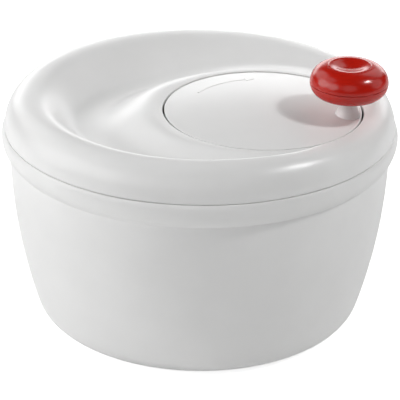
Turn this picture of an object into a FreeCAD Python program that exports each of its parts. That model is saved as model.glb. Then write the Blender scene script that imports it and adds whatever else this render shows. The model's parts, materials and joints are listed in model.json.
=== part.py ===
import FreeCAD, Part
import math
import os
import Sketcher

# Salad spinner: bowl, slotted basket and a lid whose crank disc sits off the lid's centre.
# Millimetres, +Z up. The origin is the centre of the base, on the surface the bowl stands on.
# The lid's parting plane with the bowl is horizontal at seam_height. Azimuths are in degrees
# about +Z from +X. Every number in SIZES becomes a named cell of the spreadsheet.

SIZES = {
    # bowl: foot, wall and rolled rim band
    "foot_height": 0.3,
    "foot_radius": 97.3,
    "base_recess_radius": 82.0,
    "base_recess_height": 1.0,
    "corner_radius": 13.0,
    "wall_foot_radius": 109.8,
    "wall_foot_height": 9.7,
    "wall_curve": 383.0,
    "wall_top_radius": 125.05,
    "wall_top_height": 115.0,
    "wall_thickness": 2.5,
    "floor_height": 3.3,
    "band_foot_radius": 126.0,
    "band_foot_height": 115.5,
    "band_radius": 130.0,
    "band_height": 124.5,
    "band_curve": 14.0,
    "band_flat": 1.5,
    "band_top_curve": 8.2,
    "rim_outer_radius": 128.3,
    "rim_inner_radius": 126.0,
    "seam_height": 131.0,
    "pin_boss_radius": 9.0,
    "pin_boss_height": 9.0,
    # non-slip ring
    "grip_inner_radius": 87.0,
    "grip_outer_radius": 93.0,
    "grip_height": 1.5,
    # pin and bearing cap at the bowl's centre
    "pin_radius": 3.0,
    "pin_foot_height": 3.6,
    "pin_top_height": 19.95,
    "cap_radius": 7.0,
    "cap_foot_height": 9.3,
    "cap_top_height": 22.0,
    "cap_roof": 2.0,
    "cap_chamfer": 0.6,
    # basket
    "basket_floor_height": 12.0,
    "basket_floor_radius": 90.0,
    "basket_corner": 12.0,
    "basket_wall_foot_radius": 101.95,
    "basket_wall_foot_height": 22.91,
    "basket_wall_top_radius": 110.7,
    "basket_flange_height": 119.0,
    "basket_flange_radius": 115.5,
    "basket_top_height": 123.0,
    "basket_thickness": 2.2,
    "basket_hub_radius": 9.3,
    "slot_width": 4.2,
    "slot_count": 48,
    "slot_low_foot": 28.0,
    "slot_low_top": 66.0,
    "slot_high_foot": 72.0,
    "slot_high_top": 111.0,
    "floor_slot_count": 24,
    "inner_slot_start": 24.0,
    "inner_slot_end": 52.0,
    "outer_slot_start": 57.0,
    "outer_slot_end": 88.0,
    "basket_edge_round": 0.8,
    "notch_width": 10.4,
    "notch_height": 119.8,
    "arm_count": 6,
    # lid cover
    "lid_radius": 128.0,
    "lid_thickness": 2.3,
    "crest_radius": 110.0,
    "crest_height": 152.6,
    "skirt_outer_radius": 125.4,
    "skirt_inner_radius": 123.4,
    "skirt_foot_height": 120.0,
    "skirt_top_height": 139.5,
    "seam_groove_radius": 127.2,
    "seam_groove_height": 131.5,
    "well_radius": 64.5,
    "well_wall_radius": 66.5,
    "well_edge_height": 151.0,
    "well_edge_blend": 10.0,
    "dish_depth": 16.4,
    "dish_azimuth": 168.0,
    "dish_spread": 0.82,
    "valley_share": 0.56,
    "valley_swing": 0.2,
    # gear tray and its screws
    "tray_radius": 123.1,
    "tray_foot_height": 130.7,
    "tray_top_height": 133.0,
    "tray_boss_radius": 9.5,
    "tray_boss_foot": 128.5,
    "tray_boss_top": 134.0,
    "tube_radius": 10.0,
    "tube_bore_radius": 8.0,
    "tube_top_height": 146.0,
    "tube_foot_radius": 13.0,
    "tube_foot_height": 136.0,
    "counterbore_radius": 11.5,
    "screw_circle_radius": 117.5,
    "screw_count": 6,
    "screw_boss_radius": 3.25,
    "screw_shank_radius": 1.5,
    "screw_hole_radius": 1.7,
    "screw_head_radius": 3.0,
    "screw_head_height": 2.0,
    "tray_screw_length": 10.0,
    # crank: offset from the lid's axis, gears and disc
    "crank_offset": 48.0,
    "crank_azimuth": -33.0,
    "gear_module": 1.5,
    "ring_teeth": 78,
    "pinion_teeth": 14,
    "gear_backlash": 0.18,
    "ring_outer_radius": 62.15,
    "ring_tip_radius": 57.6,
    "ring_root_radius": 60.5,
    "ring_foot_height": 135.5,
    "ring_top_height": 144.0,
    "disc_radius": 63.5,
    "disc_skirt_radius": 62.2,
    "disc_skirt_foot": 135.0,
    "disc_top_height": 154.7,
    "disc_dome_curve": 506.0,
    "disc_thickness": 2.5,
    "disc_edge_round": 0.8,
    "stub_radius": 6.0,
    "stub_foot_height": 133.8,
    "stub_shoulder_radius": 9.5,
    "stub_shoulder_height": 147.4,
    "bearing_gap": 0.2,
    "washer_thickness": 1.0,
    "crank_screw_length": 11.0,
    "fit_clearance": 0.06,
    "basket_clearance": 0.08,
    # knob post and knob
    "post_reach": 54.3,
    "post_azimuth": -9.8,
    "post_base_radius": 8.0,
    "post_neck_radius": 5.5,
    "post_seat_height": 150.7,
    "post_flange_height": 152.2,
    "post_neck_height": 160.0,
    "post_flare_curve": 22.0,
    "post_shoulder_height": 164.3,
    "journal_radius": 5.0,
    "journal_top_height": 174.5,
    "post_boss_foot": 146.5,
    "post_screw_length": 10.0,
    "knob_foot_height": 164.5,
    "knob_foot_radius": 15.0,
    "knob_foot_curve": 13.2,
    "knob_radius": 24.9,
    "knob_split_height": 173.9,
    "knob_split_gap": 0.3,
    "knob_side_curve": 9.6,
    "knob_shoulder_radius": 22.3,
    "knob_shoulder_height": 180.2,
    "knob_shoulder_curve": 21.0,
    "knob_lip_radius": 14.8,
    "knob_lip_height": 185.0,
    "knob_wall": 2.2,
    "collar_radius": 21.8,
    "collar_height": 2.0,
    "collar_thickness": 1.6,
    "dimple_edge_radius": 11.8,
    "dimple_edge_height": 185.2,
    "dimple_edge_curve": 4.6,
    "dimple_height": 182.9,
    "dimple_curve": 31.7,
    "knob_screw_length": 12.0,
    # driver
    "pinion_foot_height": 135.2,
    "pinion_top_height": 143.8,
    "pinion_tip_radius": 12.0,
    "pinion_root_radius": 8.62,
    "shaft_radius": 4.0,
    "shaft_shoulder_height": 128.0,
    "shaft_foot_height": 119.5,
    "shaft_square": 5.6,
    "bush_radius": 6.5,
    "bush_flange_radius": 8.4,
    "bush_flange_top": 135.0,
    "spider_hub_radius": 12.0,
    "spider_hub_foot": 118.0,
    "spider_hub_top": 127.7,
    "arm_width": 9.2,
    "arm_foot_height": 124.5,
    "arm_top_height": 127.0,
    "arm_reach": 115.0,
    "arm_root": 2.0,
    "rib_width": 2.4,
    "socket_clearance": 0.05,
    "lug_inner_radius": 109.2,
    "lug_foot_height": 120.0,
    "web_inner_radius": 66.0,
    "web_outer_radius": 73.0,
    "spider_screw_length": 9.0,
}

LID_SPOKES = 144
LID_ROWS = 40


class Size:
    """A length in millimetres together with the sheet expression that drives it."""

    def __init__(self, number, text):
        self.number = number
        self.text = text

    def __add__(self, other):
        return combine(self, "+", other, self.number + as_size(other).number)

    def __sub__(self, other):
        return combine(self, "-", other, self.number - as_size(other).number)

    def __mul__(self, other):
        return combine(self, "*", other, self.number * as_size(other).number)

    def __truediv__(self, other):
        return combine(self, "/", other, self.number / as_size(other).number)

    def __neg__(self):
        return Size(-self.number, f"(-{self.text})")


def as_size(value):
    return value if isinstance(value, Size) else Size(float(value), str(value))


def combine(left, sign, right, number):
    return Size(number, f"({left.text} {sign} {as_size(right).text})")


class Dimensions:
    """Every named cell of the sheet, as a Size."""


doc = FreeCAD.newDocument("SaladSpinner")
sheet = doc.addObject("Spreadsheet::Sheet", "Sizes")
dim = Dimensions()
for row, (alias, number) in enumerate(SIZES.items(), start=1):
    sheet.set(f"A{row}", alias)
    sheet.set(f"B{row}", str(number))
    sheet.setAlias(f"B{row}", alias)
    setattr(dim, alias, Size(float(number), f"Sizes.{alias}"))
doc.recompute()


# ---------------------------------------------------------------- sketch and body helpers

def bind(thing, path, size):
    """Drive one property with the sheet."""
    thing.setExpression(path, as_size(size).text)


def new_body(label):
    body = doc.addObject("PartDesign::Body", label)
    body.Label = label
    return body


def origin_feature(body, role):
    return next(item for item in body.Origin.OriginFeatures if item.Role == role)


def new_sketch(body, name, role="XZ_Plane", offset=None):
    """A sketch on one of the body's own planes, moved by offset along the plane's x, y, normal."""
    sketch = body.newObject("Sketcher::SketchObject", name)
    sketch.AttachmentSupport = [(origin_feature(body, role), "")]
    sketch.MapMode = "FlatFace"
    for axis, size in (offset or {}).items():
        bind(sketch, f"AttachmentOffset.Base.{axis}", size)
    return sketch


def fix_point(sketch, edge, end, x, y):
    for kind, size in (("DistanceX", as_size(x)), ("DistanceY", as_size(y))):
        index = sketch.addConstraint(Sketcher.Constraint(kind, edge, end, size.number))
        if size.text.strip("(-)0.") != "":
            sketch.setExpression(f"Constraints[{index}]", size.text)


def arc_between(start, end, radius):
    """The short arc from start to end. A positive radius turns left on the way."""
    chord = end - start
    middle = (start + end) * 0.5
    rise = math.sqrt(max(radius * radius - chord.Length ** 2 / 4.0, 0.0))
    left = FreeCAD.Vector(-chord.y, chord.x, 0).normalize()
    centre = middle + left * math.copysign(rise, radius)
    first, last = (start, end) if radius > 0 else (end, start)
    angles = [math.atan2(p.y - centre.y, p.x - centre.x) for p in (first, last)]
    circle = Part.Circle(centre, FreeCAD.Vector(0, 0, 1), abs(radius))
    return Part.ArcOfCircle(circle, angles[0], angles[1])


def draw_outline(sketch, corners):
    """Close an outline through (x, y) corners. A third value bends the side that ends there."""
    points = [FreeCAD.Vector(as_size(c[0]).number, as_size(c[1]).number, 0) for c in corners]
    ends = []
    for index, corner in enumerate(corners):
        start = points[index - 1]
        if len(corner) == 3:
            radius = as_size(corner[2])
            edge = sketch.addGeometry(arc_between(start, points[index], radius.number), False)
            ends.append((2, 1) if radius.number > 0 else (1, 2))
            size = radius if radius.number > 0 else -radius
            number = sketch.addConstraint(Sketcher.Constraint("Radius", edge, size.number))
            sketch.setExpression(f"Constraints[{number}]", size.text)
        else:
            sketch.addGeometry(Part.LineSegment(start, points[index]), False)
            ends.append((2, 1))
    for index, corner in enumerate(corners):
        following = (index + 1) % len(corners)
        here, there = ends[index][0], ends[following][1]
        sketch.addConstraint(Sketcher.Constraint("Coincident", index, here, following, there))
        fix_point(sketch, index, here, corner[0], corner[1])


def draw_circle(sketch, radius):
    edge = sketch.addGeometry(Part.Circle(FreeCAD.Vector(), FreeCAD.Vector(0, 0, 1), radius.number))
    sketch.addConstraint(Sketcher.Constraint("Coincident", edge, 3, -1, 1))
    index = sketch.addConstraint(Sketcher.Constraint("Radius", edge, radius.number))
    sketch.setExpression(f"Constraints[{index}]", radius.text)


def draw_rectangle(sketch, low_x, high_x, low_y, high_y):
    draw_outline(sketch, [(low_x, low_y), (high_x, low_y), (high_x, high_y), (low_x, high_y)])


def turn(body, name, corners):
    """Revolve an outline drawn in radius and height about the body's Z axis."""
    sketch = new_sketch(body, f"{name}_outline")
    draw_outline(sketch, corners)
    feature = body.newObject("PartDesign::Revolution", name)
    feature.Profile = sketch
    feature.ReferenceAxis = (sketch, ["V_Axis"])
    feature.Angle = 360
    sketch.Visibility = False
    return feature


def extrude(body, name, kind, sketch, length):
    """Pad or pocket a sketch towards its normal."""
    feature = body.newObject(f"PartDesign::{kind}", name)
    feature.Profile = sketch
    bind(feature, "Length", length)
    feature.Reversed = kind == "Pocket"
    sketch.Visibility = False
    return feature


def repeat(body, feature, count):
    """Repeat a feature evenly round the body's Z axis."""
    pattern = body.newObject("PartDesign::PolarPattern", f"{feature.Name}_ring")
    pattern.Originals = [feature]
    pattern.Axis = (origin_feature(body, "Z_Axis"), [""])
    pattern.Angle = 360
    bind(pattern, "Occurrences", count)
    body.Tip = pattern
    return pattern


def place(body, spot):
    """Move a body whose own axis is its Z axis to a spot in the plan."""
    bind(body, "Placement.Base.x", spot[0])
    bind(body, "Placement.Base.y", spot[1])


def polar_spot(reach, azimuth, start=None):
    """The plan position at a distance and azimuth from a start, driven by the sheet."""
    first = start or (as_size(0.0), as_size(0.0))
    turn_by = math.radians(azimuth.number)
    x = Size(reach.number * math.cos(turn_by), f"({reach.text} * cos({azimuth.text} * 1 deg))")
    y = Size(reach.number * math.sin(turn_by), f"({reach.text} * sin({azimuth.text} * 1 deg))")
    return (first[0] + x, first[1] + y)


crank_spot = polar_spot(dim.crank_offset, dim.crank_azimuth)
post_on_disc = polar_spot(dim.post_reach, dim.post_azimuth)
post_spot = polar_spot(dim.post_reach, dim.post_azimuth, crank_spot)


# ---------------------------------------------------------------- bowl

def build_bowl():
    body = new_body("bowl")
    inner_corner = dim.floor_height - dim.foot_height
    turn(body, "bowl_shell", [
        (0, dim.base_recess_height),
        (dim.base_recess_radius, dim.base_recess_height),
        (dim.base_recess_radius + 1.0, dim.foot_height),
        (dim.grip_inner_radius, dim.foot_height),
        (dim.grip_inner_radius, dim.grip_height),
        (dim.grip_outer_radius, dim.grip_height),
        (dim.grip_outer_radius, dim.foot_height),
        (dim.foot_radius, dim.foot_height),
        (dim.wall_foot_radius, dim.wall_foot_height, dim.corner_radius),
        (dim.wall_top_radius, dim.wall_top_height, dim.wall_curve),
        (dim.band_foot_radius, dim.band_foot_height),
        (dim.band_radius, dim.band_height, dim.band_curve),
        (dim.band_radius, dim.band_height + dim.band_flat),
        (dim.rim_outer_radius, dim.seam_height, dim.band_top_curve),
        (dim.rim_inner_radius, dim.seam_height),
        (dim.rim_inner_radius - 0.2, dim.band_foot_height + inner_corner),
        (dim.wall_top_radius - dim.wall_thickness, dim.wall_top_height),
        (dim.wall_foot_radius - inner_corner, dim.wall_foot_height + 0.8,
         -(dim.wall_curve - dim.wall_thickness)),
        (dim.foot_radius, dim.floor_height, -(dim.corner_radius - inner_corner)),
        (dim.pin_boss_radius + 3.0, dim.floor_height),
        (dim.pin_boss_radius, dim.pin_boss_height),
        (dim.pin_radius, dim.pin_boss_height),
        (dim.pin_radius, dim.pin_foot_height),
        (0, dim.pin_foot_height),
    ])
    return body


def build_grip_ring():
    body = new_body("base_grip_ring")
    turn(body, "grip_ring", [
        (dim.grip_inner_radius + 0.05, 0),
        (dim.grip_outer_radius - 0.05, 0),
        (dim.grip_outer_radius - 0.05, dim.grip_height),
        (dim.grip_inner_radius + 0.05, dim.grip_height),
    ])
    return body


def build_pivot_pin():
    body = new_body("pivot_pin")
    point = dim.pin_radius / 2
    turn(body, "pin", [
        (0, dim.pin_foot_height),
        (dim.pin_radius, dim.pin_foot_height),
        (dim.pin_radius, dim.pin_top_height - point),
        (point, dim.pin_top_height),
        (0, dim.pin_top_height),
    ])
    return body


def build_pivot_cap():
    body = new_body("pivot_cap")
    bore = dim.pin_radius + dim.fit_clearance
    turn(body, "cap", [
        (bore, dim.cap_foot_height),
        (dim.cap_radius, dim.cap_foot_height),
        (dim.cap_radius, dim.cap_top_height - dim.cap_chamfer),
        (dim.cap_radius - dim.cap_chamfer, dim.cap_top_height),
        (0, dim.cap_top_height),
        (0, dim.cap_top_height - dim.cap_roof),
        (bore, dim.cap_top_height - dim.cap_roof),
    ])
    return body


# ---------------------------------------------------------------- basket

def build_basket():
    body = new_body("basket")
    thick = dim.basket_thickness
    edge = dim.basket_edge_round
    bore = dim.cap_radius + dim.basket_clearance
    turn(body, "basket_shell", [
        (bore, dim.basket_floor_height),
        (dim.basket_floor_radius, dim.basket_floor_height),
        (dim.basket_wall_foot_radius, dim.basket_wall_foot_height, dim.basket_corner),
        (dim.basket_wall_top_radius, dim.basket_flange_height),
        (dim.basket_flange_radius, dim.basket_flange_height + 0.6),
        (dim.basket_flange_radius, dim.basket_top_height - edge),
        (dim.basket_flange_radius - edge, dim.basket_top_height, edge),
        (dim.basket_wall_top_radius - thick + edge, dim.basket_top_height),
        (dim.basket_wall_top_radius - thick, dim.basket_top_height - edge, edge),
        (dim.basket_wall_foot_radius - thick, dim.basket_wall_foot_height + 0.2),
        (dim.basket_floor_radius, dim.basket_floor_height + thick, -(dim.basket_corner - thick)),
        (dim.basket_hub_radius + 3.0, dim.basket_floor_height + thick),
        (dim.basket_hub_radius, dim.cap_top_height + thick),
        (0, dim.cap_top_height + thick),
        (0, dim.cap_top_height),
        (bore, dim.cap_top_height),
    ])
    half = dim.slot_width / 2
    tiers = ((dim.slot_low_foot, dim.slot_low_top), (dim.slot_high_foot, dim.slot_high_top))
    for number, (foot, top) in enumerate(tiers, start=1):
        slots = new_sketch(body, f"wall_slot_{number}_outline", "YZ_Plane",
                           {"z": dim.basket_floor_radius})
        draw_rectangle(slots, -half, half, foot, top)
        cut = extrude(body, f"wall_slot_{number}", "Pocket", slots, dim.band_radius)
        repeat(body, cut, dim.slot_count)
    rings = ((dim.floor_slot_count, dim.inner_slot_start, dim.inner_slot_end),
             (dim.slot_count, dim.outer_slot_start, dim.outer_slot_end))
    for number, (count, start, end) in enumerate(rings, start=1):
        slots = new_sketch(body, f"floor_slot_{number}_outline", "XY_Plane",
                           {"z": dim.basket_floor_height})
        draw_rectangle(slots, start, end, -half, half)
        cut = extrude(body, f"floor_slot_{number}", "Pocket", slots, thick * 2)
        repeat(body, cut, count)
    notch = new_sketch(body, "notch_outline", "XY_Plane", {"z": dim.notch_height})
    half = dim.notch_width / 2
    draw_rectangle(notch, dim.basket_floor_radius, dim.band_radius, -half, half)
    cut = extrude(body, "notch", "Pocket", notch, dim.basket_top_height)
    repeat(body, cut, dim.arm_count)
    return body


# ---------------------------------------------------------------- lid cover

def well_reach(azimuth):
    """Distance from the lid's axis to the well's edge at an azimuth in radians."""
    offset = dim.crank_offset.number
    along = offset * math.cos(azimuth - math.radians(dim.crank_azimuth.number))
    return along + math.sqrt(along ** 2 - offset ** 2 + dim.well_radius.number ** 2)


def ease(share):
    """A smooth step from 0 to 1."""
    share = min(max(share, 0.0), 1.0)
    return share * share * (3.0 - 2.0 * share)


def lid_height(radius, azimuth):
    """Height of the lid's outer surface: a round rim, and a dish that winds behind the well."""
    crest = dim.crest_radius.number
    seam = dim.seam_height.number
    edge = well_reach(azimuth)
    from_well = radius - edge
    rise = dim.crest_height.number - seam
    step = rise - (dim.well_edge_height.number - seam) / rim_round(edge)
    rise -= step * math.exp(-(from_well / dim.well_edge_blend.number) ** 2)
    height = seam + rise * rim_round(radius)
    gap = crest - edge
    if gap <= 0.0 or radius >= crest:
        return height
    swing = math.remainder(azimuth - math.radians(dim.dish_azimuth.number), math.tau)
    strength = (0.5 + 0.5 * math.cos(swing)) ** dim.dish_spread.number
    valley = dim.valley_share.number + dim.valley_swing.number * math.sin(swing)
    share = from_well / gap
    if share < valley:
        shape = ease(share / valley)
    else:
        shape = ease((1.0 - share) / (1.0 - valley))
    return height - dim.dish_depth.number * strength * shape


def rim_round(radius):
    """Height share of the rim's quarter ellipse: 1 inside the crest, 0 at the lid's edge."""
    crest = dim.crest_radius.number
    outside = min(max(radius - crest, 0.0) / (dim.lid_radius.number - crest), 1.0)
    return math.sqrt(1.0 - outside ** 2)


def lid_point(azimuth, start, share):
    """A point of the lid's outer surface, from start (share 0) to the lid's edge (share 1)."""
    radius = dim.lid_radius.number - (dim.lid_radius.number - start) * (1.0 - share) ** 2
    height = lid_height(radius, azimuth)
    return FreeCAD.Vector(radius * math.cos(azimuth), radius * math.sin(azimuth), height)


def lid_surface(inset, start_gain):
    """The lid's outer surface moved inwards by inset, as a spline surface closed round the lid.

    Its control points lie on the wanted surface: one row per spoke, from the well outwards.
    """
    grid = []
    first = math.radians(dim.crank_azimuth.number)
    for spoke in range(LID_SPOKES):
        azimuth = first + math.tau * spoke / LID_SPOKES
        start = well_reach(azimuth) + start_gain
        line = []
        for step in range(LID_ROWS + 1):
            share = step / LID_ROWS
            point = lid_point(azimuth, start, share)
            if inset > 0.0:
                point = point - lid_normal(azimuth, start, share) * inset
            line.append(point)
        grid.append(line)
    spans = LID_ROWS - 2
    round_knots = [index / LID_SPOKES for index in range(LID_SPOKES + 1)]
    out_knots = [index / spans for index in range(spans + 1)]
    round_weights = [1] * len(round_knots)
    out_weights = [4] + [1] * (spans - 1) + [4]
    surface = Part.BSplineSurface()
    surface.buildFromPolesMultsKnots(grid, round_weights, out_weights, round_knots, out_knots,
                                     True, False, 3, 3)
    return surface


def lid_normal(azimuth, start, share):
    """The outward unit normal at a point of the lid's outer surface."""
    if share >= 1.0:
        return FreeCAD.Vector(math.cos(azimuth), math.sin(azimuth), 0)
    small = 1e-4
    here = lid_point(azimuth, start, share)
    along = lid_point(azimuth, start, share + small) - here
    radius = math.hypot(here.x, here.y)
    side_azimuth = azimuth + small
    side_height = lid_height(radius, side_azimuth)
    side = FreeCAD.Vector(radius * math.cos(side_azimuth), radius * math.sin(side_azimuth),
                          side_height) - here
    return along.cross(side).normalize()


def flat_edge(patch, side, foot):
    """The edge of a patch at one side, dropped onto the horizontal plane at foot."""
    curve = patch.vIso(side)
    for index, pole in enumerate(curve.getPoles(), start=1):
        curve.setPole(index, FreeCAD.Vector(pole.x, pole.y, foot))
    return curve.toShape()


def flat_face(edges):
    return Part.Face(Part.Wire(Part.__sortEdges__(edges)))


def filled_solid(surface, foot):
    """The solid between the closed surface, cut into four patches, and the plane at foot."""
    faces = []
    inner_edges = []
    outer_edges = []
    for index in range(4):
        patch = surface.copy()
        patch.segment(index / 4, (index + 1) / 4, 0, 1)
        faces.append(patch.toShape())
        for side, edges in ((0, inner_edges), (1, outer_edges)):
            top = patch.vIso(side).toShape()
            bottom = flat_edge(patch, side, foot)
            edges.append(bottom)
            if top.valueAt(top.FirstParameter).z - foot > 1e-6:
                faces.append(Part.makeRuledSurface(top, bottom))
    faces.extend(flat_face(outer_edges).cut(flat_face(inner_edges)).Faces)
    sewn = Part.makeCompound(faces)
    sewn.sewShape(1e-4)
    solid = Part.Solid(sewn.Shells[0])
    solid.fix(1e-4, 1e-4, 1e-3)
    return solid


def tube(outer, inner, foot, top, centre=(0.0, 0.0)):
    base = FreeCAD.Vector(centre[0], centre[1], foot)
    cylinder = Part.makeCylinder(outer, top - foot, base)
    return cylinder.cut(Part.makeCylinder(inner, top - foot, base)) if inner else cylinder


def build_lid_cover():
    seam, tray_top = dim.seam_height.number, dim.tray_top_height.number
    thickness = dim.lid_thickness.number
    outer = filled_solid(lid_surface(0.0, 0.0), seam)
    well_wall = dim.well_wall_radius.number - dim.well_radius.number
    cover = outer.cut(filled_solid(lid_surface(thickness, well_wall), seam - 2.0))
    cover = cover.fuse(tube(dim.skirt_outer_radius.number, dim.skirt_inner_radius.number,
                            dim.skirt_foot_height.number, dim.skirt_top_height.number))
    roof = outer.copy()
    roof.translate(FreeCAD.Vector(0, 0, -thickness / 2.0))
    for centre in screw_spots():
        boss = tube(dim.screw_boss_radius.number, 0, tray_top, dim.crest_height.number, centre)
        cover = cover.fuse(boss.common(roof))
    for centre in screw_spots():
        pilot_top = dim.tray_foot_height.number + dim.tray_screw_length.number + 0.5
        cover = cover.cut(tube(dim.screw_shank_radius.number, 0, seam, pilot_top, centre))
    cover = cover.cut(tube(dim.skirt_inner_radius.number, 0, seam - 1.0, tray_top))
    cover = cover.cut(tube(dim.lid_radius.number + 1.0, dim.seam_groove_radius.number,
                           seam - 1.0, dim.seam_groove_height.number))
    feature = doc.addObject("Part::Feature", "lid_cover")
    feature.Label = "lid_cover"
    feature.Shape = cover
    return feature


def screw_spots():
    """Plan positions of the tray screws: evenly round, clear of the well."""
    count = int(dim.screw_count.number)
    first = math.radians(dim.crank_azimuth.number) + math.pi / count
    reach = dim.screw_circle_radius.number
    turns = [first + math.tau * index / count for index in range(count)]
    return [(reach * math.cos(turn_by), reach * math.sin(turn_by)) for turn_by in turns]


# ---------------------------------------------------------------- gear tray and bearings

def build_gear_tray():
    body = new_body("gear_tray")
    turn(body, "tray_plate", [
        (dim.bush_radius, dim.tray_boss_foot),
        (dim.tray_boss_radius, dim.tray_boss_foot),
        (dim.tray_boss_radius, dim.tray_foot_height),
        (dim.tray_radius, dim.tray_foot_height),
        (dim.tray_radius, dim.tray_top_height),
        (dim.tray_boss_radius, dim.tray_top_height),
        (dim.tray_boss_radius, dim.tray_boss_top),
        (dim.bush_radius, dim.tray_boss_top),
    ])
    at_crank = {"x": crank_spot[0], "y": crank_spot[1]}
    steps = (
        ("tube_foot", "Pad", dim.tube_foot_radius, dim.tray_foot_height, dim.tube_foot_height),
        ("tube_wall", "Pad", dim.tube_radius, dim.tray_foot_height, dim.tube_top_height),
        ("tube_bore", "Pocket", dim.tube_bore_radius, dim.tray_foot_height, dim.tube_top_height),
        ("washer_room", "Pocket", dim.counterbore_radius, dim.tray_foot_height,
         dim.stub_foot_height + dim.bearing_gap),
    )
    for name, kind, radius, foot, top in steps:
        circle = new_sketch(body, f"{name}_outline", "XY_Plane", {**at_crank, "z": foot})
        draw_circle(circle, radius)
        extrude(body, name, kind, circle, top - foot)
    half_step = as_size(180) / dim.screw_count
    first_screw = polar_spot(dim.screw_circle_radius, dim.crank_azimuth + half_step)
    hole = new_sketch(body, "screw_hole_outline", "XY_Plane",
                      {"x": first_screw[0], "y": first_screw[1], "z": dim.tray_foot_height})
    draw_circle(hole, dim.screw_hole_radius)
    cut = extrude(body, "screw_hole", "Pocket", hole, dim.tray_top_height - dim.tray_foot_height)
    repeat(body, cut, dim.screw_count)
    return body


def build_pinion_bush():
    body = new_body("pinion_bush")
    bore = dim.shaft_radius + dim.fit_clearance
    turn(body, "bush", [
        (bore, dim.tray_boss_foot),
        (dim.bush_radius, dim.tray_boss_foot),
        (dim.bush_radius, dim.tray_boss_top),
        (dim.bush_flange_radius, dim.tray_boss_top),
        (dim.bush_flange_radius, dim.bush_flange_top),
        (bore, dim.bush_flange_top),
    ])
    return body


def build_crank_bush():
    body = new_body("crank_bush")
    bore = dim.stub_radius + dim.fit_clearance
    turn(body, "bush", [
        (bore, dim.stub_foot_height + dim.bearing_gap),
        (dim.tube_bore_radius, dim.stub_foot_height + dim.bearing_gap),
        (dim.tube_bore_radius, dim.tube_top_height),
        (dim.tube_radius, dim.tube_top_height),
        (dim.tube_radius, dim.stub_shoulder_height - dim.bearing_gap),
        (bore, dim.stub_shoulder_height - dim.bearing_gap),
    ])
    place(body, crank_spot)
    return body


# ---------------------------------------------------------------- screws and washers

def build_screw(label, seat, length, points_up=True, head_radius=None, spot=None):
    """A pan-head screw with a cross recess. The head sits on seat, away from the shank."""
    body = new_body(label)
    head = head_radius or dim.screw_head_radius
    way = 1 if points_up else -1
    tip = seat + length * way
    top = seat - dim.screw_head_height * way
    half_shank = dim.screw_shank_radius / 2
    corners = [
        (0, top),
        (head - 0.8, top),
        (head, top + way * 0.8, 0.8 * way),
        (head, seat),
        (dim.screw_shank_radius, seat),
        (dim.screw_shank_radius, tip - half_shank * way),
        (half_shank, tip),
        (0, tip),
    ]
    turn(body, "screw", corners)
    for name, long_side in (("recess_x", True), ("recess_y", False)):
        recess = new_sketch(body, f"{name}_outline", "XY_Plane", {"z": top})
        long_half, short_half = head * 0.6, 0.35
        across, along = (long_half, short_half) if long_side else (short_half, long_half)
        draw_rectangle(recess, -as_size(across), across, -as_size(along), along)
        cut = extrude(body, name, "Pocket", recess, 1.0)
        cut.Reversed = points_up
    if spot:
        place(body, spot)
    return body


def build_tray_screws():
    """The tray's identical screws, as separate solids of one node."""
    single = build_screw("tray_screw", dim.tray_foot_height, dim.tray_screw_length)
    doc.recompute()
    solids = []
    for centre in screw_spots():
        screw = single.Shape.copy()
        screw.translate(FreeCAD.Vector(centre[0], centre[1], 0))
        solids.append(screw)
    feature = doc.addObject("Part::Feature", "tray_screws")
    feature.Label = "tray_screws"
    feature.Shape = Part.makeCompound(solids)
    return feature


def build_washer(label, inner, outer, foot, thickness, spot=None):
    body = new_body(label)
    turn(body, "washer", [
        (inner, foot),
        (outer, foot),
        (outer, foot + thickness),
        (inner, foot + thickness),
    ])
    if spot:
        place(body, spot)
    return body


# ---------------------------------------------------------------- gears

def involute_angle(base, radius):
    """Polar angle that an involute has turned through at a radius."""
    pressure = math.acos(min(base / radius, 1.0))
    return math.tan(pressure) - pressure


def gear_wire(teeth, tip, root, thickness, facing):
    """Closed outline of an external gear with one tooth centred on the azimuth facing."""
    pitch = dim.gear_module.number * teeth / 2.0
    base = pitch * math.cos(math.radians(20.0))
    half_at_base = thickness / (2.0 * pitch) + involute_angle(base, pitch)
    flank_foot = max(root, base)
    radii = (flank_foot, (flank_foot + tip) / 2.0, tip)
    halves = [half_at_base - involute_angle(base, radius) for radius in radii]
    step = math.tau / teeth

    def at(radius, azimuth):
        return FreeCAD.Vector(radius * math.cos(azimuth), radius * math.sin(azimuth), 0)

    edges = []
    for tooth in range(teeth):
        middle = facing + step * tooth
        rising = [at(radius, middle - half) for radius, half in zip(radii, halves)]
        falling = [at(radius, middle + half) for radius, half in zip(radii, halves)]
        next_foot = at(root, middle + step - halves[0])
        if root < base:
            edges.append(Part.LineSegment(at(root, middle - halves[0]), rising[0]).toShape())
        edges.append(Part.Arc(*rising).toShape())
        edges.append(Part.Arc(rising[2], at(tip, middle), falling[2]).toShape())
        edges.append(Part.Arc(*reversed(falling)).toShape())
        if root < base:
            edges.append(Part.LineSegment(falling[0], at(root, middle + halves[0])).toShape())
        foot = at(root, middle + halves[0])
        edges.append(Part.Arc(foot, at(root, middle + step / 2.0), next_foot).toShape())
    return Part.Wire(edges)


def gear_prism(wire, foot, top):
    wire = wire.copy()
    wire.translate(FreeCAD.Vector(0, 0, foot))
    return Part.Face(wire).extrude(FreeCAD.Vector(0, 0, top - foot))


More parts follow.
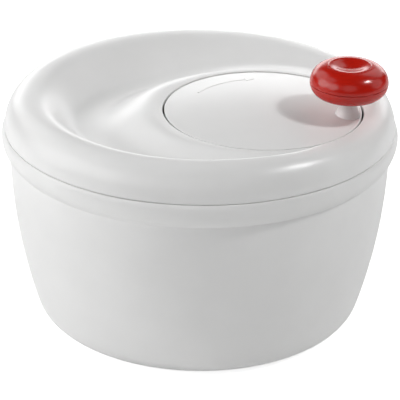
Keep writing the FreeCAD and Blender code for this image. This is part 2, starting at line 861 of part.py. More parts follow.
def build_ring_gear():
    """Internal gear: the space that an external gear of the same teeth would fill is cut out."""
    half_pitch = math.pi * dim.gear_module.number / 2.0
    facing = math.radians(dim.crank_azimuth.number + 180.0)
    wire = gear_wire(int(dim.ring_teeth.number), dim.ring_root_radius.number,
                     dim.ring_tip_radius.number, half_pitch + dim.gear_backlash.number / 2.0, facing)
    foot, top = dim.ring_foot_height.number, dim.ring_top_height.number
    blank = Part.makeCylinder(dim.ring_outer_radius.number, top - foot, FreeCAD.Vector(0, 0, foot))
    feature = doc.addObject("Part::Feature", "ring_gear")
    feature.Label = "ring_gear"
    feature.Shape = blank.cut(gear_prism(wire, foot, top))
    place(feature, crank_spot)
    return feature


def build_drive_pinion():
    facing = math.radians(dim.crank_azimuth.number + 180.0)
    half_pitch = math.pi * dim.gear_module.number / 2.0
    wire = gear_wire(int(dim.pinion_teeth.number), dim.pinion_tip_radius.number,
                     dim.pinion_root_radius.number, half_pitch - dim.gear_backlash.number / 2.0, facing)
    foot, top = dim.pinion_foot_height.number, dim.pinion_top_height.number
    shoulder, end = dim.shaft_shoulder_height.number, dim.shaft_foot_height.number
    half = dim.shaft_square.number / 2.0
    teeth = gear_prism(wire, foot, top)
    shaft = tube(dim.shaft_radius.number, 0, shoulder, foot + 1.0)
    square = Part.makeBox(2 * half, 2 * half, shoulder - end, FreeCAD.Vector(-half, -half, end))
    screw_bore = tube(dim.screw_shank_radius.number, 0, end, end + 8.0)
    feature = doc.addObject("Part::Feature", "drive_pinion")
    feature.Label = "drive_pinion"
    feature.Shape = teeth.fuse(shaft).fuse(square).cut(screw_bore).removeSplitter()
    return feature


# ---------------------------------------------------------------- crank disc

def build_crank_disc():
    body = new_body("crank_disc")
    dome_centre = dim.disc_top_height - dim.disc_dome_curve
    inner_curve = dim.disc_dome_curve - dim.disc_thickness

    def dome(radius, curve):
        square = curve * curve - radius * radius
        return dome_centre + Size(math.sqrt(square.number), f"sqrt({square.text})")

    flat_radius = dim.disc_radius - dim.disc_edge_round
    edge_height = dome(flat_radius, dim.disc_dome_curve)
    turn(body, "disc_shell", [
        (0, dim.stub_shoulder_height),
        (dim.screw_shank_radius, dim.stub_shoulder_height),
        (dim.screw_shank_radius, dim.stub_foot_height),
        (dim.stub_radius, dim.stub_foot_height),
        (dim.stub_radius, dim.stub_shoulder_height),
        (dim.stub_shoulder_radius, dim.stub_shoulder_height),
        (dim.stub_shoulder_radius, dome(dim.stub_shoulder_radius, inner_curve)),
        (dim.disc_skirt_radius, dome(dim.disc_skirt_radius, inner_curve), -inner_curve),
        (dim.disc_skirt_radius, dim.disc_skirt_foot),
        (dim.disc_radius, dim.disc_skirt_foot),
        (dim.disc_radius, edge_height - dim.disc_edge_round),
        (flat_radius, edge_height, dim.disc_edge_round),
        (0, dim.disc_top_height, dim.disc_dome_curve),
    ])
    at_post = {"x": post_on_disc[0], "y": post_on_disc[1]}
    steps = (
        ("post_boss", "Pad", dim.post_base_radius + 0.7, dim.post_boss_foot, dim.post_seat_height),
        ("post_seat", "Pocket", dim.post_base_radius + 0.1, dim.post_seat_height,
         dim.disc_top_height),
        ("post_hole", "Pocket", dim.screw_hole_radius, dim.post_boss_foot, dim.disc_top_height),
    )
    for name, kind, radius, foot, top in steps:
        circle = new_sketch(body, f"{name}_outline", "XY_Plane", {**at_post, "z": foot})
        draw_circle(circle, radius)
        extrude(body, name, kind, circle, top - foot)
    place(body, crank_spot)
    return body


# ---------------------------------------------------------------- knob and its post

def build_knob_post():
    body = new_body("knob_post")
    seat, top = dim.post_seat_height, dim.journal_top_height
    bore = dim.screw_shank_radius
    turn(body, "post", [
        (bore, seat),
        (dim.post_base_radius, seat),
        (dim.post_base_radius, dim.post_flange_height),
        (dim.post_neck_radius, dim.post_neck_height, -dim.post_flare_curve),
        (dim.post_neck_radius, dim.post_shoulder_height),
        (dim.journal_radius, dim.post_shoulder_height),
        (dim.journal_radius, top),
        (bore, top),
        (bore, top - dim.knob_screw_length),
        (0, top - dim.knob_screw_length),
        (0, seat + dim.post_screw_length),
        (bore, seat + dim.post_screw_length),
    ])
    place(body, post_spot)
    return body


def build_knob_lower():
    """The knob's turning half: a shallow cup with a bearing tube and a collar that snaps in."""
    body = new_body("knob_lower")
    bore = dim.journal_radius + dim.fit_clearance
    wall = dim.knob_wall
    foot, split = dim.knob_foot_height, dim.knob_split_height
    collar_inside = dim.collar_radius - dim.collar_thickness
    turn(body, "lower_shell", [
        (bore, foot),
        (dim.knob_foot_radius, foot),
        (dim.knob_radius, split, dim.knob_foot_curve),
        (dim.collar_radius, split),
        (dim.collar_radius, split + dim.collar_height),
        (collar_inside, split + dim.collar_height),
        (collar_inside, split - wall),
        (dim.knob_foot_radius, foot + wall),
        (bore + wall, foot + wall),
        (bore + wall, dim.journal_top_height - dim.bearing_gap),
        (bore, dim.journal_top_height - dim.bearing_gap),
    ])
    place(body, post_spot)
    return body


def build_knob_upper():
    """The knob's cap: a round shoulder, a soft lip and a shallow finger dimple."""
    body = new_body("knob_upper")
    wall = dim.knob_wall
    split = dim.knob_split_height + dim.knob_split_gap
    inside = dim.knob_radius - wall
    turn(body, "upper_shell", [
        (inside, split),
        (dim.knob_radius, split),
        (dim.knob_shoulder_radius, dim.knob_shoulder_height, dim.knob_side_curve),
        (dim.knob_lip_radius, dim.knob_lip_height, dim.knob_shoulder_curve),
        (dim.dimple_edge_radius, dim.dimple_edge_height, dim.dimple_edge_curve),
        (0, dim.dimple_height, -dim.dimple_curve),
        (0, dim.dimple_height - wall),
        (dim.dimple_edge_radius, dim.dimple_edge_height - wall, dim.dimple_curve + wall),
        (dim.knob_lip_radius, dim.knob_lip_height - wall),
        (dim.knob_shoulder_radius - wall, dim.knob_shoulder_height - wall / 2,
         wall - dim.knob_shoulder_curve),
        (inside, split + wall),
    ])
    place(body, post_spot)
    return body


# ---------------------------------------------------------------- driver

def build_drive_spider():
    """Hub, six ribbed arms with lugs for the basket's notches, and a ring that ties the arms."""
    body = new_body("drive_spider")
    turn(body, "hub", [
        (0, dim.spider_hub_foot),
        (dim.spider_hub_radius, dim.spider_hub_foot),
        (dim.spider_hub_radius, dim.spider_hub_top),
        (0, dim.spider_hub_top),
    ])
    turn(body, "web", [
        (dim.web_inner_radius, dim.arm_foot_height),
        (dim.web_outer_radius, dim.arm_foot_height),
        (dim.web_outer_radius, dim.arm_top_height),
        (dim.web_inner_radius, dim.arm_top_height),
    ])
    half = dim.arm_width / 2
    start = dim.spider_hub_radius - dim.arm_root
    steps = (
        ("arm", start, dim.arm_reach, half, dim.arm_foot_height, dim.arm_top_height),
        ("rib", start, dim.lug_inner_radius + 1.0, dim.rib_width / 2, dim.lug_foot_height,
         dim.arm_foot_height),
        ("lug", dim.lug_inner_radius, dim.arm_reach, half, dim.lug_foot_height,
         dim.arm_foot_height),
    )
    for name, inner, outer, side, foot, top in steps:
        block = new_sketch(body, f"{name}_outline", "XY_Plane", {"z": foot})
        draw_rectangle(block, inner, outer, -side, side)
        repeat(body, extrude(body, name, "Pad", block, top - foot), dim.arm_count)
    socket = new_sketch(body, "socket_outline", "XY_Plane", {"z": dim.spider_hub_foot})
    side = dim.shaft_square / 2 + dim.socket_clearance
    draw_rectangle(socket, -side, side, -side, side)
    extrude(body, "socket", "Pocket", socket, dim.spider_hub_top - dim.spider_hub_foot)
    body.Tip = doc.getObject("socket")
    return body


# ---------------------------------------------------------------- build, check and write

def build_all():
    washer = dim.washer_thickness
    stub_foot = dim.stub_foot_height
    shank_gap = dim.screw_shank_radius + 0.1
    parts = [
        build_bowl(),
        build_grip_ring(),
        build_pivot_pin(),
        build_pivot_cap(),
        build_basket(),
        build_lid_cover(),
        build_gear_tray(),
        build_tray_screws(),
        build_pinion_bush(),
        build_crank_bush(),
        build_crank_disc(),
        build_ring_gear(),
        build_washer("crank_washer", shank_gap, dim.counterbore_radius - 0.5,
                     stub_foot - washer, washer, crank_spot),
        build_screw("crank_screw", stub_foot - washer, dim.crank_screw_length, True,
                    dim.screw_head_radius + 1.0, crank_spot),
        build_knob_post(),
        build_screw("post_screw", dim.post_boss_foot, dim.post_screw_length, True, None, post_spot),
        build_washer("knob_washer", shank_gap, dim.journal_radius + 2.0,
                     dim.journal_top_height, washer, post_spot),
        build_screw("knob_screw", dim.journal_top_height + washer, dim.knob_screw_length, False,
                    None, post_spot),
        build_knob_lower(),
        build_knob_upper(),
        build_drive_pinion(),
        build_washer("thrust_washer", dim.shaft_radius + 0.1, dim.tray_boss_radius,
                     dim.spider_hub_top, dim.tray_boss_foot - dim.spider_hub_top - dim.bearing_gap),
        build_drive_spider(),
        build_screw("spider_screw", dim.spider_hub_foot, dim.spider_screw_length, True,
                    dim.screw_head_radius + 2.0),
    ]
    doc.recompute()
    return parts


def check_document():
    broken = [item.Name for item in doc.Objects if {"Invalid", "Error"} & set(item.State)]
    if broken:
        raise RuntimeError(f"failed to build: {broken}")


def write_parts(parts):
    os.makedirs("parts", exist_ok=True)
    for part in parts:
        shape = part.Shape
        if shape.isNull() or not shape.isValid() or shape.Volume <= 0:
            raise RuntimeError(f"{part.Label} has no valid shape")
        print(f"{part.Label}: {len(shape.Solids)} solids, {shape.Volume:.1f} mm3")
        shape.exportStep(f"parts/{part.Label}.step")


finished = build_all()
check_document()
write_parts(finished)
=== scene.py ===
import json
import math

import bpy
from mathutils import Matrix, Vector


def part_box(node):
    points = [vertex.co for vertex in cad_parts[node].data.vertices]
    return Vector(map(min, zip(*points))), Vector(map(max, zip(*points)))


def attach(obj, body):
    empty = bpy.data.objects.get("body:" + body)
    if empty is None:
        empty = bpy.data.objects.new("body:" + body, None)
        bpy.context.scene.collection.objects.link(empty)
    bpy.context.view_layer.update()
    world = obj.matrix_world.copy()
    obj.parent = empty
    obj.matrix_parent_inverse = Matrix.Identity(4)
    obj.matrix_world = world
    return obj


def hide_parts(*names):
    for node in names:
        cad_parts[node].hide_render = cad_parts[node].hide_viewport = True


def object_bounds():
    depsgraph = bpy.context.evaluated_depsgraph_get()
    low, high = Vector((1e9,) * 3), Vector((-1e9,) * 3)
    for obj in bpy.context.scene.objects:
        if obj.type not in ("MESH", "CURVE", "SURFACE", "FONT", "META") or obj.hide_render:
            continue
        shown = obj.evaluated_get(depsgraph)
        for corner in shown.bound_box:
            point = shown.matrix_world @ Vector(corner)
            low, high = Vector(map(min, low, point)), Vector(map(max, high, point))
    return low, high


# Salad spinner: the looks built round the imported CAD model. Lengths of shapes are millimetres and
# are turned into metres where a mesh is made. Azimuths are about +Z from +X. The stage, the lamps
# and the camera are placed in metres.

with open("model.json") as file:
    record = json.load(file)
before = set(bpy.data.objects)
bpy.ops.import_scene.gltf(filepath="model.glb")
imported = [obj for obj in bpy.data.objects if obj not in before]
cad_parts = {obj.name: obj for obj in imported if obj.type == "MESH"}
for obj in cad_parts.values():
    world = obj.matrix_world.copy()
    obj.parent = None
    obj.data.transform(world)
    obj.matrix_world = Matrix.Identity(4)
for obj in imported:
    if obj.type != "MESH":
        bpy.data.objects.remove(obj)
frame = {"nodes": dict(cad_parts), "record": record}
cad_low, cad_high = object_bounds()

MM = 0.001
SAME_SPOT = 1e-6

# The well is the round opening of the lid that holds the crank disc. The dish is the hollow that
# winds round the well, deepest towards DISH_AZIMUTH, with its valley at VALLEY_SHARE of the way
# from the well to the crest of the rim.
WELL_RADIUS = 64.5
WELL_WALL = 2.0
WELL_FOOT = 133.0
WELL_EDGE_ROUNDING = 0.4
LID_RADIUS = 128.0
CREST_RADIUS = 110.0
CREST_HEIGHT = 152.6
SEAM_HEIGHT = 131.0
WELL_EDGE_HEIGHT = 151.0
WELL_EDGE_BLEND = 10.0
DISH_DEPTH = 16.4
DISH_AZIMUTH = math.radians(168.0)
DISH_SPREAD = 0.82
VALLEY_SHARE = 0.56
VALLEY_SWING = 0.18
LID_THICKNESS = 2.3
SKIRT_INSIDE = 123.4
LID_SPOKES = 360
LID_ROWS = 84
LID_ROW_CROWDING = 1.7
UNDERSIDE_ROWS = 14

DOME_TOP = 154.7
DOME_CURVE = 506.0
DISC_THICKNESS = 2.5
DISC_SIDE = 62.2
DISC_EDGE = 62.8
DISC_EDGE_ROUNDING = 0.4

crank_low, crank_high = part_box("ring_gear")
CRANK = ((crank_low.x + crank_high.x) / 2 / MM, (crank_low.y + crank_high.y) / 2 / MM)
post_low, post_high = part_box("knob_post")
POST = ((post_low.x + post_high.x) / 2 / MM, (post_low.y + post_high.y) / 2 / MM)
CRANK_OFFSET = math.hypot(*CRANK)
CRANK_AZIMUTH = math.atan2(CRANK[1], CRANK[0])


# ---------------------------------------------------------------- meshes

def new_piece(name, points, faces, body, material, smooth=True):
    """A mesh from millimetre points, riding on a body and painted with a material."""
    mesh = bpy.data.meshes.new(name)
    mesh.from_pydata([(x * MM, y * MM, z * MM) for x, y, z in points], [], faces)
    mesh.validate()
    mesh.update()
    piece = bpy.data.objects.new(name, mesh)
    bpy.context.scene.collection.objects.link(piece)
    if smooth:
        mesh.shade_smooth()
    mesh.materials.append(material)
    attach(piece, body)
    return piece


def arc_points(start, end, radius, step):
    """Points after start, up to end, on the short arc that turns left for a positive radius."""
    chord = (end - start).length
    middle = (start + end) / 2
    rise = math.sqrt(max(radius * radius - chord * chord / 4, 0.0))
    left = Vector((start.y - end.y, end.x - start.x)).normalized()
    centre = middle + left * math.copysign(rise, radius)
    first = math.atan2(start.y - centre.y, start.x - centre.x)
    last = math.atan2(end.y - centre.y, end.x - centre.x)
    turn = math.remainder(last - first, math.tau)
    count = max(2, math.ceil(abs(turn) * abs(radius) / step), math.ceil(abs(turn) / 0.12))
    return [centre + Vector((math.cos(first + turn * k / count), math.sin(first + turn * k / count)))
            * abs(radius) for k in range(1, count + 1)]


def outline(corners, step=3.0):
    """Radius and height points round a closed outline.

    A corner is (radius, height, bend, rounding). Bend curves the side that ends there, and
    rounding trims the corner by that length and bridges it with a smooth curve.
    """
    spots = [Vector(c[:2]) for c in corners]
    sides = []
    for index, corner in enumerate(corners):
        start, end = spots[index - 1], spots[index]
        bend = corner[2] if len(corner) > 2 else 0
        if bend:
            sides.append([start] + arc_points(start, end, bend, step))
        else:
            sides.append([start, end])
    trims = [c[3] if len(c) > 3 else 0 for c in corners]
    for index, trim in enumerate(trims):
        if trim:
            sides[index] = shorten(sides[index], trim)
            following = (index + 1) % len(corners)
            sides[following] = list(reversed(shorten(list(reversed(sides[following])), trim)))
    path = []
    for index, side in enumerate(sides):
        before = trims[index - 1]
        meets = path and (side[0] - path[-1]).length < SAME_SPOT
        line = side[1:] if meets else side
        path.extend(support(line, before, trims[index]))
        if trims[index]:
            first, last = side[-1], sides[(index + 1) % len(corners)][0]
            path.extend(bridge(first, spots[index], last))
    if (path[0] - path[-1]).length < SAME_SPOT:
        path.pop()
    return path


def support(line, before, after):
    """Extra points close to rounded ends, which keep long sides flat under smooth shading."""
    if len(line) < 2:
        return line
    line = list(line)
    if before:
        gap = line[1] - line[0]
        if gap.length > 3 * before:
            line.insert(1, line[0] + gap.normalized() * before)
    if after:
        gap = line[-1] - line[-2]
        if gap.length > 3 * after:
            line.insert(len(line) - 1, line[-1] - gap.normalized() * after)
    return line


def shorten(side, trim):
    """The side with its last part, trim long, cut off."""
    side = list(side)
    left = trim
    while len(side) > 2 and (side[-1] - side[-2]).length <= left:
        left -= (side[-1] - side[-2]).length
        side.pop()
    last = side[-1] - side[-2]
    side[-1] = side[-2] + last * max(1 - left / last.length, 0.05)
    return side


def bridge(first, corner, last, count=5):
    """Points strictly between first and last on the curve that rounds the corner."""
    points = []
    for k in range(1, count):
        t = k / count
        points.append(first * (1 - t) ** 2 + corner * 2 * t * (1 - t) + last * t * t)
    return points


def lathe(name, corners, body, material, centre=(0.0, 0.0), spokes=192, step=3.0):
    """Turn a closed outline round the vertical line through centre."""
    path = outline(corners, step)
    points, rings, faces = [], [], []
    for spot in path:
        if spot.x < SAME_SPOT:
            rings.append([len(points)])
            points.append((centre[0], centre[1], spot.y))
            continue
        rings.append(list(range(len(points), len(points) + spokes)))
        for k in range(spokes):
            turn = math.tau * k / spokes
            points.append((centre[0] + spot.x * math.cos(turn),
                           centre[1] + spot.x * math.sin(turn), spot.y))
    for index, ring in enumerate(rings):
        faces.extend(between(ring, rings[(index + 1) % len(rings)]))
    return new_piece(name, points, faces, body, material)


def between(ring, other):
    """Faces between two rings, either of which may be a single point on the axis."""
    if len(ring) == 1 and len(other) == 1:
        return []
    count = max(len(ring), len(other))
    faces = []
    for k in range(count):
        following = (k + 1) % count
        if len(ring) == 1:
            faces.append((ring[0], other[following], other[k]))
        elif len(other) == 1:
            faces.append((ring[k], ring[following], other[0]))
        else:
            faces.append((ring[k], ring[following], other[following], other[k]))
    return faces


# ---------------------------------------------------------------- lid

def reach(azimuth, radius):
    """Distance from the lid's axis to a circle round the crank's axis."""
    along = CRANK_OFFSET * math.cos(azimuth - CRANK_AZIMUTH)
    return along + math.sqrt(along ** 2 - CRANK_OFFSET ** 2 + radius ** 2)


def ease(share):
    """A smooth step from 0 to 1 that starts and ends without any curvature."""
    share = min(max(share, 0.0), 1.0)
    return share ** 3 * (10.0 - 15.0 * share + 6.0 * share * share)


def rim_round(radius):
    """Height share of the rim's quarter ellipse: 1 inside the crest, 0 at the lid's edge."""
    outside = min(max(radius - CREST_RADIUS, 0.0) / (LID_RADIUS - CREST_RADIUS), 1.0)
    return math.sqrt(1.0 - outside ** 2)


def lid_height(radius, azimuth):
    """Height of the lid's outer surface: a round rim, and a dish that winds behind the well."""
    edge = reach(azimuth, WELL_RADIUS)
    from_well = radius - edge
    rise = CREST_HEIGHT - SEAM_HEIGHT
    step = rise - (WELL_EDGE_HEIGHT - SEAM_HEIGHT) / rim_round(edge)
    rise -= step * math.exp(-(from_well / WELL_EDGE_BLEND) ** 2)
    height = SEAM_HEIGHT + rise * rim_round(radius)
    gap = CREST_RADIUS - edge
    if gap <= 0.0 or radius >= CREST_RADIUS:
        return height
    swing = math.remainder(azimuth - DISH_AZIMUTH, math.tau)
    strength = (0.5 + 0.5 * math.cos(swing)) ** DISH_SPREAD
    valley = VALLEY_SHARE + VALLEY_SWING * math.sin(swing)
    share = from_well / gap
    shape = ease(share / valley) if share < valley else ease((1.0 - share) / (1.0 - valley))
    return height - DISH_DEPTH * strength * shape


def lid_section(azimuth):
    """Radius and height points of the lid's closed section at an azimuth, the same number for all."""
    start = reach(azimuth, WELL_RADIUS)
    wall = reach(azimuth, WELL_RADIUS + WELL_WALL)
    first = start + WELL_EDGE_ROUNDING
    outermost = LID_RADIUS - 0.01
    top = []
    for k in range(LID_ROWS + 1):
        inwards = (1 - k / LID_ROWS) ** LID_ROW_CROWDING
        radius = outermost - (outermost - first) * inwards
        top.append(Vector((radius, lid_height(radius, azimuth))))
    edge = Vector((start, top[0].y + 0.02))
    side = Vector((start, top[0].y - WELL_EDGE_ROUNDING))
    section = [side] + bridge(side, edge, top[0]) + top
    section += [Vector(p) for p in (
        (128.0, 131.62), (127.9, 131.5), (127.2, 131.5), (127.2, 131.0), (125.4, 131.0),
        (125.4, 120.5), (125.1, 120.1), (124.4, 120.0), (123.7, 120.1), (SKIRT_INSIDE, 120.5))]
    inner = []
    for k in range(1, LID_ROWS + 1):
        along = top[k] - top[k - 1]
        normal = Vector((-along.y, along.x)).normalized()
        inner.append(top[k] - normal * LID_THICKNESS)
    for k in range(UNDERSIDE_ROWS + 1):
        radius = SKIRT_INSIDE + (wall - SKIRT_INSIDE) * k / UNDERSIDE_ROWS
        section.append(Vector((radius, height_at(inner, radius))))
    section += [Vector((wall, WELL_FOOT)), Vector((start, WELL_FOOT))]
    return section


def height_at(line, radius):
    """Height of a polyline at a radius, held level past its ends."""
    for k in range(1, len(line)):
        low, high = line[k - 1], line[k]
        if low.x <= radius <= high.x:
            share = (radius - low.x) / max(high.x - low.x, 1e-9)
            return low.y + (high.y - low.y) * share
    return line[0].y if radius < line[0].x else line[-1].y


def make_lid(material):
    """The lid as one closed skin: its section at every spoke, joined to the next all the way round."""
    points, faces = [], []
    for k in range(LID_SPOKES):
        azimuth = CRANK_AZIMUTH + math.tau * k / LID_SPOKES
        section = lid_section(azimuth)
        points.extend((s.x * math.cos(azimuth), s.x * math.sin(azimuth), s.y) for s in section)
    rows = len(points) // LID_SPOKES
    for k in range(LID_SPOKES):
        here, there = k * rows, (k + 1) % LID_SPOKES * rows
        for row in range(rows):
            following = (row + 1) % rows
            faces.append((here + row, here + following, there + following, there + row))
    piece = new_piece("lid_shell", points, faces, "lid", material)
    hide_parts("lid_cover")


# ---------------------------------------------------------------- materials

def shader_base(name):
    """A new node material: the material, its node tree, its shader and its object coordinates."""
    material = bpy.data.materials.new(name)
    material.use_nodes = True
    tree = material.node_tree
    place = tree.nodes.new("ShaderNodeTexCoord").outputs["Object"]
    return material, tree, tree.nodes["Principled BSDF"], place


def noise(tree, place, scale, detail=2.0):
    """The value of a noise texture at a place."""
    node = tree.nodes.new("ShaderNodeTexNoise")
    node.inputs["Scale"].default_value = scale
    node.inputs["Detail"].default_value = detail
    tree.links.new(place, node.inputs["Vector"])
    return node.outputs["Fac"]


def colour(tree, shader, value, low, high, ends=(0.0, 1.0)):
    """Mix the shader's base colour between low and high by a value, between two ends of it."""
    ramp = tree.nodes.new("ShaderNodeValToRGB")
    for element, end, tone in zip(ramp.color_ramp.elements, ends, (low, high)):
        element.position = end
        element.color = (*tone, 1)
    tree.links.new(value, ramp.inputs["Fac"])
    tree.links.new(ramp.outputs["Color"], shader.inputs["Base Color"])


def spread(tree, value, low, high, socket):
    """Feed a value into a socket, spread from low to high."""
    node = tree.nodes.new("ShaderNodeMapRange")
    node.inputs["To Min"].default_value = low
    node.inputs["To Max"].default_value = high
    tree.links.new(value, node.inputs["Value"])
    tree.links.new(node.outputs["Result"], socket)


def relief(tree, shader, value, strength, depth):
    """Raise the surface's shading by a value."""
    node = tree.nodes.new("ShaderNodeBump")
    node.inputs["Strength"].default_value = strength
    node.inputs["Distance"].default_value = depth
    tree.links.new(value, node.inputs["Height"])
    tree.links.new(node.outputs["Normal"], shader.inputs["Normal"])


def plastic(name, low, high, rough, bump=0.02, grain=900.0, specular=0.5):
    """Moulded plastic: faint mottling of colour and gloss, and a fine moulded texture."""
    material, tree, shader, place = shader_base(name)
    colour(tree, shader, noise(tree, place, 28.0, 4.0), low, high, (0.3, 0.7))
    spread(tree, noise(tree, place, 60.0, 6.0), *rough, shader.inputs["Roughness"])
    relief(tree, shader, noise(tree, place, grain, 3.0), bump, 0.0004)
    shader.inputs["Specular IOR Level"].default_value = specular
    return material


def clear_plastic(name):
    """Clear plastic with a frosted, slightly milky body that blurs what is inside it."""
    material, tree, shader, place = shader_base(name)
    shader.inputs["Transmission Weight"].default_value = 0.15
    shader.inputs["IOR"].default_value = 1.45
    ripple = noise(tree, place, 160.0)
    colour(tree, shader, ripple, (0.86, 0.87, 0.87), (0.93, 0.93, 0.93))
    spread(tree, ripple, 0.16, 0.28, shader.inputs["Roughness"])
    relief(tree, shader, ripple, 0.08, 0.0005)
    return material


def brushed_steel(name):
    """Turned steel: a bright zinc grey with fine streaks."""
    material, tree, shader, place = shader_base(name)
    shader.inputs["Metallic"].default_value = 1.0
    stretch = tree.nodes.new("ShaderNodeMapping")
    stretch.inputs["Scale"].default_value = (400.0, 400.0, 3000.0)
    tree.links.new(place, stretch.inputs["Vector"])
    streak = noise(tree, stretch.outputs["Vector"], 1.0, 4.0)
    colour(tree, shader, streak, (0.42, 0.43, 0.45), (0.72, 0.72, 0.72))
    spread(tree, streak, 0.22, 0.42, shader.inputs["Roughness"])
    return material


white = plastic("white_plastic", (0.80, 0.80, 0.795), (0.83, 0.83, 0.825), (0.28, 0.34))
disc_white = plastic("disc_white", (0.79, 0.79, 0.785), (0.82, 0.82, 0.815), (0.28, 0.34))
basket_white = plastic("basket_white", (0.76, 0.77, 0.76), (0.80, 0.81, 0.80), (0.42, 0.55), 0.06)
inner_white = plastic("inner_white", (0.70, 0.71, 0.71), (0.74, 0.75, 0.75), (0.45, 0.6), 0.08)
gear_plastic = plastic("gear_acetal", (0.62, 0.60, 0.53), (0.68, 0.66, 0.59), (0.35, 0.5), 0.05)
red = plastic("knob_red", (0.46, 0.010, 0.004), (0.52, 0.014, 0.006), (0.19, 0.23), 0.004)
rubber = plastic("grip_rubber", (0.26, 0.26, 0.26), (0.32, 0.32, 0.32), (0.7, 0.85), 0.3, 1500.0, 0.2)
clear = clear_plastic("clear_plastic")
steel = brushed_steel("zinc_steel")

by_slot = {
    "bowl_plastic": white, "lid_plastic": white, "disc_plastic": disc_white,
    "basket_plastic": basket_white, "inner_plastic": inner_white, "gear_plastic": gear_plastic,
    "clear_plastic": clear, "knob_red": red, "steel": steel, "grip_rubber": rubber,
}
for part in frame["record"]["subparts"]:
    node = frame["nodes"][part["node"]]
    node.data.materials.clear()
    node.data.materials.append(by_slot[part["material_slot"]])


# ---------------------------------------------------------------- pieces

bowl = lathe("bowl_shell", [
    (0, 1.0), (82.0, 1.0, 0, 0.4), (83.0, 0.3, 0, 0.4), (87.0, 0.3, 0, 0.3), (87.0, 1.5),
    (93.0, 1.5), (93.0, 0.3, 0, 0.3), (97.3, 0.3), (109.8, 9.7, 13.0), (125.05, 115.0, 383.0, 0.8),
    (126.0, 115.5, 0, 0.5), (130.0, 124.5, 14.0), (130.0, 126.0), (128.3, 131.0, 8.2, 0.25),
    (126.0, 131.0, 0, 0.4), (125.8, 118.5, 0, 1.5), (122.55, 115.0, 0, 1.5), (106.8, 10.5, -380.5),
    (97.3, 3.3, -10.0), (12.0, 3.3, 0, 1.0), (9.0, 9.0, 0, 0.4), (3.0, 9.0), (3.0, 3.6),
    (0, 3.6),
], "bowl", white, spokes=256)
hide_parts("bowl")

make_lid(white)


def dome_height(radius, below=0.0):
    """Height of the crank disc's dome at a radius, or of the surface that lies below it."""
    return DOME_TOP - DOME_CURVE + math.sqrt((DOME_CURVE - below) ** 2 - radius ** 2)


disc = lathe("crank_disc_shell", [
    (0, 147.4), (1.5, 147.4), (1.5, 133.8), (6.0, 133.8, 0, 0.3), (6.0, 147.4),
    (9.5, 147.4, 0, 0.3), (9.5, dome_height(9.5, DISC_THICKNESS)),
    (DISC_SIDE, dome_height(DISC_SIDE, DISC_THICKNESS), DISC_THICKNESS - DOME_CURVE, 0.5),
    (DISC_SIDE, 135.0, 0, 0.25), (63.5, 135.0, 0, 0.25),
    (DISC_EDGE + DISC_EDGE_ROUNDING, dome_height(DISC_EDGE) - DISC_EDGE_ROUNDING),
    (DISC_EDGE, dome_height(DISC_EDGE), DISC_EDGE_ROUNDING), (0, DOME_TOP, DOME_CURVE),
], "crank", disc_white, CRANK, spokes=256)
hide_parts("crank_disc")


def turn_arrow(name, radius, first, last, head, material):
    """A low raised arrow, curved round the crank's axis from azimuth first to its tip at last."""
    shaft_steps, head_steps = 48, 12
    shaft_half, head_half, tip_half = 0.9, 3.0, 0.12
    sunk, shoulder, proud_top = -0.4, 0.05, 0.22
    neck = last - head
    stops = [(first + (neck - first) * k / shaft_steps, shaft_half) for k in range(shaft_steps + 1)]
    stops += [(neck, head_half)]
    for k in range(1, head_steps + 1):
        left = 1 - k / head_steps
        stops.append((last - head * left, head_half * left + tip_half))
    corners = 6
    points, faces = [], []
    for azimuth, half in stops:
        bevel = min(0.25, half * 0.5)
        section = ((-half, sunk), (-half, shoulder), (bevel - half, proud_top),
                   (half - bevel, proud_top), (half, shoulder), (half, sunk))
        turn = math.radians(azimuth)
        for side, proud in section:
            reach_out = radius + side
            points.append((CRANK[0] + reach_out * math.cos(turn),
                           CRANK[1] + reach_out * math.sin(turn), dome_height(reach_out) + proud))
    for row in range(len(stops) - 1):
        for k in range(corners):
            here, there = row * corners + k, row * corners + (k + 1) % corners
            faces.append((here, there, there + corners, here + corners))
    faces.append(tuple(reversed(range(corners))))
    faces.append(tuple(range(len(points) - corners, len(points))))
    return new_piece(name, points, faces, "crank", material, smooth=False)


turn_arrow("turn_arrow", 47.0, 152.0, 96.0, -7.0, disc_white)

post = lathe("knob_post_clear", [
    (1.5, 150.7), (8.0, 150.7, 0, 0.2), (8.0, 152.2, 0, 0.4), (5.5, 160.0, -22.0),
    (5.5, 164.3, 0, 0.2), (5.0, 164.3), (5.0, 174.5, 0, 0.3), (1.5, 174.5), (1.5, 162.5),
    (0, 162.5), (0, 160.7), (1.5, 160.7),
], "crank", clear, POST, spokes=96, step=0.8)
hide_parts("knob_post")

lower = lathe("knob_lower_shell", [
    (5.06, 164.8, 0, 0.3), (15.8, 164.8, 0, 0.5), (24.9, 173.9, 9.1, 0.15), (21.8, 173.9),
    (21.8, 175.9, 0, 0.3), (20.2, 175.9, 0, 0.3), (20.2, 171.7), (15.8, 167.0, 0, 0.5),
    (7.26, 167.0), (7.26, 174.3, 0, 0.2), (5.06, 174.3),
], "knob", red, POST, spokes=192, step=0.6)
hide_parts("knob_lower")

upper = lathe("knob_upper_shell", [
    (22.7, 174.2), (24.9, 174.2, 0, 0.15), (13.5, 185.6, 11.4), (9.2, 184.76, 11.4, 0.5),
    (0, 182.9, -23.7), (0, 180.7), (9.2, 182.4, 25.9), (13.5, 183.4, -9.2), (22.7, 174.5, -9.2),
], "knob", red, POST, spokes=224, step=0.5)
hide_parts("knob_upper")


# ---------------------------------------------------------------- stage, lights and camera

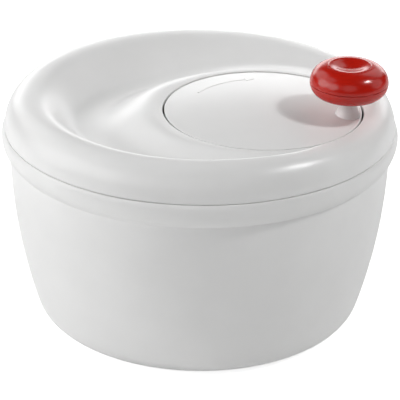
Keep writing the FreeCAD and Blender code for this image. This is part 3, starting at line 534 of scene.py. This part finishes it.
def floor_material():
    """A pale sheet lit from beneath: it looks almost white, yet throws little light back."""
    material, tree, shader, place = shader_base("studio_sheet")
    shader.inputs["Roughness"].default_value = 0.9
    shader.inputs["Specular IOR Level"].default_value = 0.0
    shader.inputs["Emission Color"].default_value = (1, 1, 1, 1)
    looks = tree.nodes.new("ShaderNodeLightPath")
    spread(tree, looks.outputs["Is Camera Ray"], 0.07, 0.70, shader.inputs["Emission Strength"])
    colour(tree, shader, noise(tree, place, 40.0), (0.84, 0.84, 0.84), (0.86, 0.86, 0.86))
    return material


FLOOR_HALF = 4.0
FLOOR_DROP = 0.0002
floor_corners = [(x * FLOOR_HALF, y * FLOOR_HALF, 0) for x, y in ((-1, -1), (1, -1), (1, 1), (-1, 1))]
mesh = bpy.data.meshes.new("studio_floor")
mesh.from_pydata(floor_corners, [], [(0, 1, 2, 3)])
floor = bpy.data.objects.new("studio_floor", mesh)
floor.location.z = cad_low.z - FLOOR_DROP
bpy.context.scene.collection.objects.link(floor)
mesh.materials.append(floor_material())


LAMP_DISTANCE = 2.0
LAMP_TARGET = Vector((0, 0, 0.12))


def direction(azimuth, elevation):
    """The unit vector towards an azimuth and an elevation in degrees."""
    a, e = math.radians(azimuth), math.radians(elevation)
    return Vector((math.cos(e) * math.cos(a), math.cos(e) * math.sin(a), math.sin(e)))


def lamp(name, azimuth, elevation, size, watts):
    """A soft box turned to the object: a disc, or a rectangle for a (width, height) size."""
    light = bpy.data.lights.new(name, "AREA")
    light.shape = "DISK"
    if isinstance(size, tuple):
        light.shape = "RECTANGLE"
        light.size, light.size_y = size
    else:
        light.size = size
    light.energy = watts
    thing = bpy.data.objects.new(name, light)
    thing.location = LAMP_TARGET + direction(azimuth, elevation) * LAMP_DISTANCE
    thing.rotation_euler = (thing.location - LAMP_TARGET).to_track_quat("Z", "Y").to_euler()
    bpy.context.scene.collection.objects.link(thing)


lamp("key", -12, 48.5, 0.3, 15)
lamp("left_fill", 180, 20, 1.4, 15)
lamp("left_top", 180, 50, 1.2, 3.6)
lamp("front_left_fill", 215, 25, 1.4, 12)
lamp("front_fill", 270, 30, 1.4, 3.5)
lamp("right_fill", 0, 20, 1.4, 4.5)
lamp("back_left", 140, 35, 1.4, 6.5)
lamp("back_right", 50, 35, 1.4, 5)
lamp("back_wall", 90, 10, (3.0, 0.7), 18.5)

# The background looks pale to the camera and gives the object almost no light.
world = bpy.data.worlds.new("studio")
bpy.context.scene.world = world
world.use_nodes = True
haze = world.node_tree.nodes["Background"]
haze.inputs["Color"].default_value = (1, 1, 1, 1)
looks = world.node_tree.nodes.new("ShaderNodeLightPath")
spread(world.node_tree, looks.outputs["Is Camera Ray"], 0.01, 0.95, haze.inputs["Strength"])

CAMERA_AZIMUTH = 270.0
CAMERA_ELEVATION = 25.85
CAMERA_DISTANCE = 1.236
CAMERA_TARGET = Vector((0.0007, 0, 0.0729))
CAMERA_ROLL = math.radians(0.73)
camera = bpy.data.objects.new("camera", bpy.data.cameras.new("camera"))
camera.data.lens = 165.6
camera.data.sensor_width = 36.0
camera.location = CAMERA_TARGET + direction(CAMERA_AZIMUTH, CAMERA_ELEVATION) * CAMERA_DISTANCE
camera.rotation_euler = (camera.location - CAMERA_TARGET).to_track_quat("Z", "Y").to_euler()
camera.rotation_euler.rotate_axis("Z", CAMERA_ROLL)
bpy.context.scene.collection.objects.link(camera)
bpy.context.scene.camera = camera
bpy.context.scene.view_settings.view_transform = "Standard"
